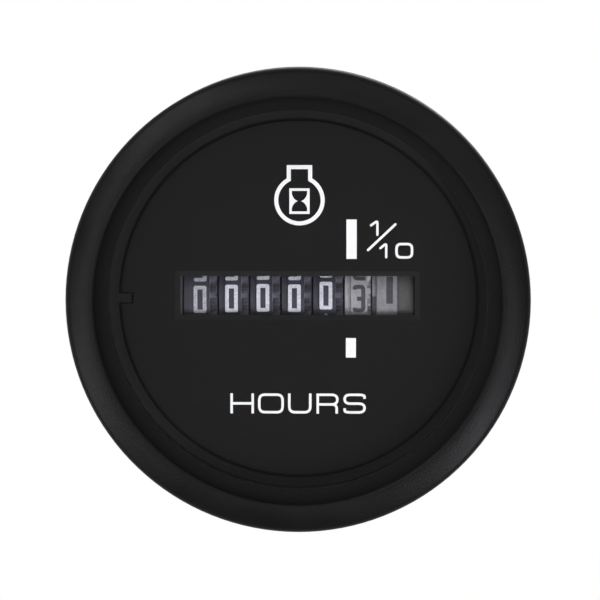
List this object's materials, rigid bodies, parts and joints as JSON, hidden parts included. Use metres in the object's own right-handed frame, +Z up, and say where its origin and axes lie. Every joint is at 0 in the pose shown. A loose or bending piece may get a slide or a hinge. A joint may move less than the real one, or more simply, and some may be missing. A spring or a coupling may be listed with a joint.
{
  "type": "hour meter",
  "caption": "Round panel hour meter with a black bezel, a clear lens and a geared wheel counter turned by a stepping motor behind a windowed dial.",
  "frame": {"origin": "on the barrel's axis, in the plane where the bezel's rear face meets the panel", "axes": "+Y runs along the barrel into the panel, so the face looks along -Y; +X is to the right of the face; +Z is up"},
  "size_m": [0.06, 0.068, 0.06],
  "materials": {
    "bezel_plastic": "fine matt moulded black",
    "lens_clear": "clear polished",
    "gasket_rubber": "matt black",
    "dial_black": "fine matt black",
    "case_plastic": "moulded black",
    "frame_plastic": "moulded dark grey",
    "bright_steel": "ground",
    "light_wheel_plastic": "moulded light grey",
    "hour_wheel_plastic": "moulded near black",
    "gear_plastic": "natural white moulding",
    "magnet_ferrite": "dull dark grey",
    "lamination_steel": "rolled",
    "bobbin_plastic": "moulded cream",
    "enamelled_copper": "fine enamelled wire",
    "board_laminate": "green coated",
    "can_metal": "drawn",
    "chip_plastic": "moulded black",
    "capacitor_sleeve": "shrunk sleeve",
    "terminal_brass": "stamped",
    "plated_steel": "zinc plated"
  },
  "bodies": {
    "housing": {"barrel_case": "case_plastic", "bezel": "bezel_plastic", "board_screws": "plated_steel", "circuit_board": "board_laminate", "coil_bobbin": "bobbin_plastic", "coil_core": "lamination_steel", "coil_pins": "bright_steel", "coil_winding": "enamelled_copper", "counter_frame": "frame_plastic", "dial_plate": "dial_black", "dial_ring": "dial_black", "driver_chip": "chip_plastic", "filter_capacitor": "capacitor_sleeve", "lens": "lens_clear", "lens_gasket": "gasket_rubber", "mounting_studs": "plated_steel", "negative_terminal": "terminal_brass", "pinion_shaft": "bright_steel", "positive_terminal": "terminal_brass", "quartz_crystal": "can_metal", "reduction_pin_1": "bright_steel", "reduction_pin_2": "bright_steel", "rotor_pin": "bright_steel", "shaft_clips": "plated_steel", "stator": "lamination_steel", "stator_screws": "plated_steel", "wheel_shaft": "bright_steel"},
    "tenths_wheel": {"tenths_wheel": "light_wheel_plastic"},
    "units_wheel": {"units_wheel": "hour_wheel_plastic"},
    "tens_wheel": {"tens_wheel": "hour_wheel_plastic"},
    "hundreds_wheel": {"hundreds_wheel": "hour_wheel_plastic"},
    "thousands_wheel": {"thousands_wheel": "hour_wheel_plastic"},
    "ten_thousands_wheel": {"ten_thousands_wheel": "hour_wheel_plastic"},
    "carry_pinion_6": {"carry_pinion_6": "gear_plastic"},
    "carry_pinion_5": {"carry_pinion_5": "gear_plastic"},
    "carry_pinion_4": {"carry_pinion_4": "gear_plastic"},
    "carry_pinion_3": {"carry_pinion_3": "gear_plastic"},
    "carry_pinion_2": {"carry_pinion_2": "gear_plastic"},
    "carry_pinion_1": {"carry_pinion_1": "gear_plastic"},
    "rotor": {"rotor": "gear_plastic", "rotor_magnet": "magnet_ferrite"},
    "reduction_gear_1": {"reduction_gear_1": "gear_plastic"},
    "reduction_gear_2": {"reduction_gear_2": "gear_plastic"},
    "run_wheel": {"run_wheel": "light_wheel_plastic"}
  },
  "joints": [
    {"name": "tenths_turn", "type": "hinge", "parent": "housing", "child": "tenths_wheel", "pos_m": [0, 0.0069, 0], "axis": [1, 0, 0], "continuous": true},
    {"name": "units_turn", "type": "hinge", "parent": "housing", "child": "units_wheel", "pos_m": [0, 0.0069, 0], "axis": [1, 0, 0], "continuous": true},
    {"name": "tens_turn", "type": "hinge", "parent": "housing", "child": "tens_wheel", "pos_m": [0, 0.0069, 0], "axis": [1, 0, 0], "continuous": true},
    {"name": "hundreds_turn", "type": "hinge", "parent": "housing", "child": "hundreds_wheel", "pos_m": [0, 0.0069, 0], "axis": [1, 0, 0], "continuous": true},
    {"name": "thousands_turn", "type": "hinge", "parent": "housing", "child": "thousands_wheel", "pos_m": [0, 0.0069, 0], "axis": [1, 0, 0], "continuous": true},
    {"name": "ten_thousands_turn", "type": "hinge", "parent": "housing", "child": "ten_thousands_wheel", "pos_m": [0, 0.0069, 0], "axis": [1, 0, 0], "continuous": true},
    {"name": "carry_6_turn", "type": "hinge", "parent": "housing", "child": "carry_pinion_6", "pos_m": [0, 0.01501, 0], "axis": [1, 0, 0], "continuous": true},
    {"name": "carry_5_turn", "type": "hinge", "parent": "housing", "child": "carry_pinion_5", "pos_m": [0, 0.01501, 0], "axis": [1, 0, 0], "continuous": true},
    {"name": "carry_4_turn", "type": "hinge", "parent": "housing", "child": "carry_pinion_4", "pos_m": [0, 0.01501, 0], "axis": [1, 0, 0], "continuous": true},
    {"name": "carry_3_turn", "type": "hinge", "parent": "housing", "child": "carry_pinion_3", "pos_m": [0, 0.01501, 0], "axis": [1, 0, 0], "continuous": true},
    {"name": "carry_2_turn", "type": "hinge", "parent": "housing", "child": "carry_pinion_2", "pos_m": [0, 0.01501, 0], "axis": [1, 0, 0], "continuous": true},
    {"name": "carry_1_turn", "type": "hinge", "parent": "housing", "child": "carry_pinion_1", "pos_m": [0, 0.01501, 0], "axis": [1, 0, 0], "continuous": true},
    {"name": "rotor_turn", "type": "hinge", "parent": "housing", "child": "rotor", "pos_m": [0, 0.02131, -0.00013], "axis": [1, 0, 0], "continuous": true},
    {"name": "reduction_1_turn", "type": "hinge", "parent": "housing", "child": "reduction_gear_1", "pos_m": [0, 0.01831, -0.00576], "axis": [1, 0, 0], "continuous": true},
    {"name": "reduction_2_turn", "type": "hinge", "parent": "housing", "child": "reduction_gear_2", "pos_m": [0, 0.01174, -0.00576], "axis": [1, 0, 0], "continuous": true},
    {"name": "run_turn", "type": "hinge", "parent": "housing", "child": "run_wheel", "pos_m": [0, 0.0069, 0], "axis": [1, 0, 0], "continuous": true}
  ],
  "couplings": [
    {"joint": "units_turn", "follows": "tenths_turn", "ratio": 0.1},
    {"joint": "tens_turn", "follows": "tenths_turn", "ratio": 0.01},
    {"joint": "hundreds_turn", "follows": "tenths_turn", "ratio": 0.001},
    {"joint": "thousands_turn", "follows": "tenths_turn", "ratio": 0.0001},
    {"joint": "ten_thousands_turn", "follows": "tenths_turn", "ratio": 0.00001},
    {"joint": "carry_6_turn", "follows": "tenths_turn", "ratio": -2.5},
    {"joint": "carry_5_turn", "follows": "tenths_turn", "ratio": -0.25},
    {"joint": "carry_4_turn", "follows": "tenths_turn", "ratio": -0.025},
    {"joint": "carry_3_turn", "follows": "tenths_turn", "ratio": -0.0025},
    {"joint": "carry_2_turn", "follows": "tenths_turn", "ratio": -0.00025},
    {"joint": "carry_1_turn", "follows": "tenths_turn", "ratio": -0.000025},
    {"joint": "reduction_1_turn", "follows": "rotor_turn", "ratio": -0.13333},
    {"joint": "reduction_2_turn", "follows": "rotor_turn", "ratio": 0.022222},
    {"joint": "run_turn", "follows": "rotor_turn", "ratio": -0.0055556}
  ]
}
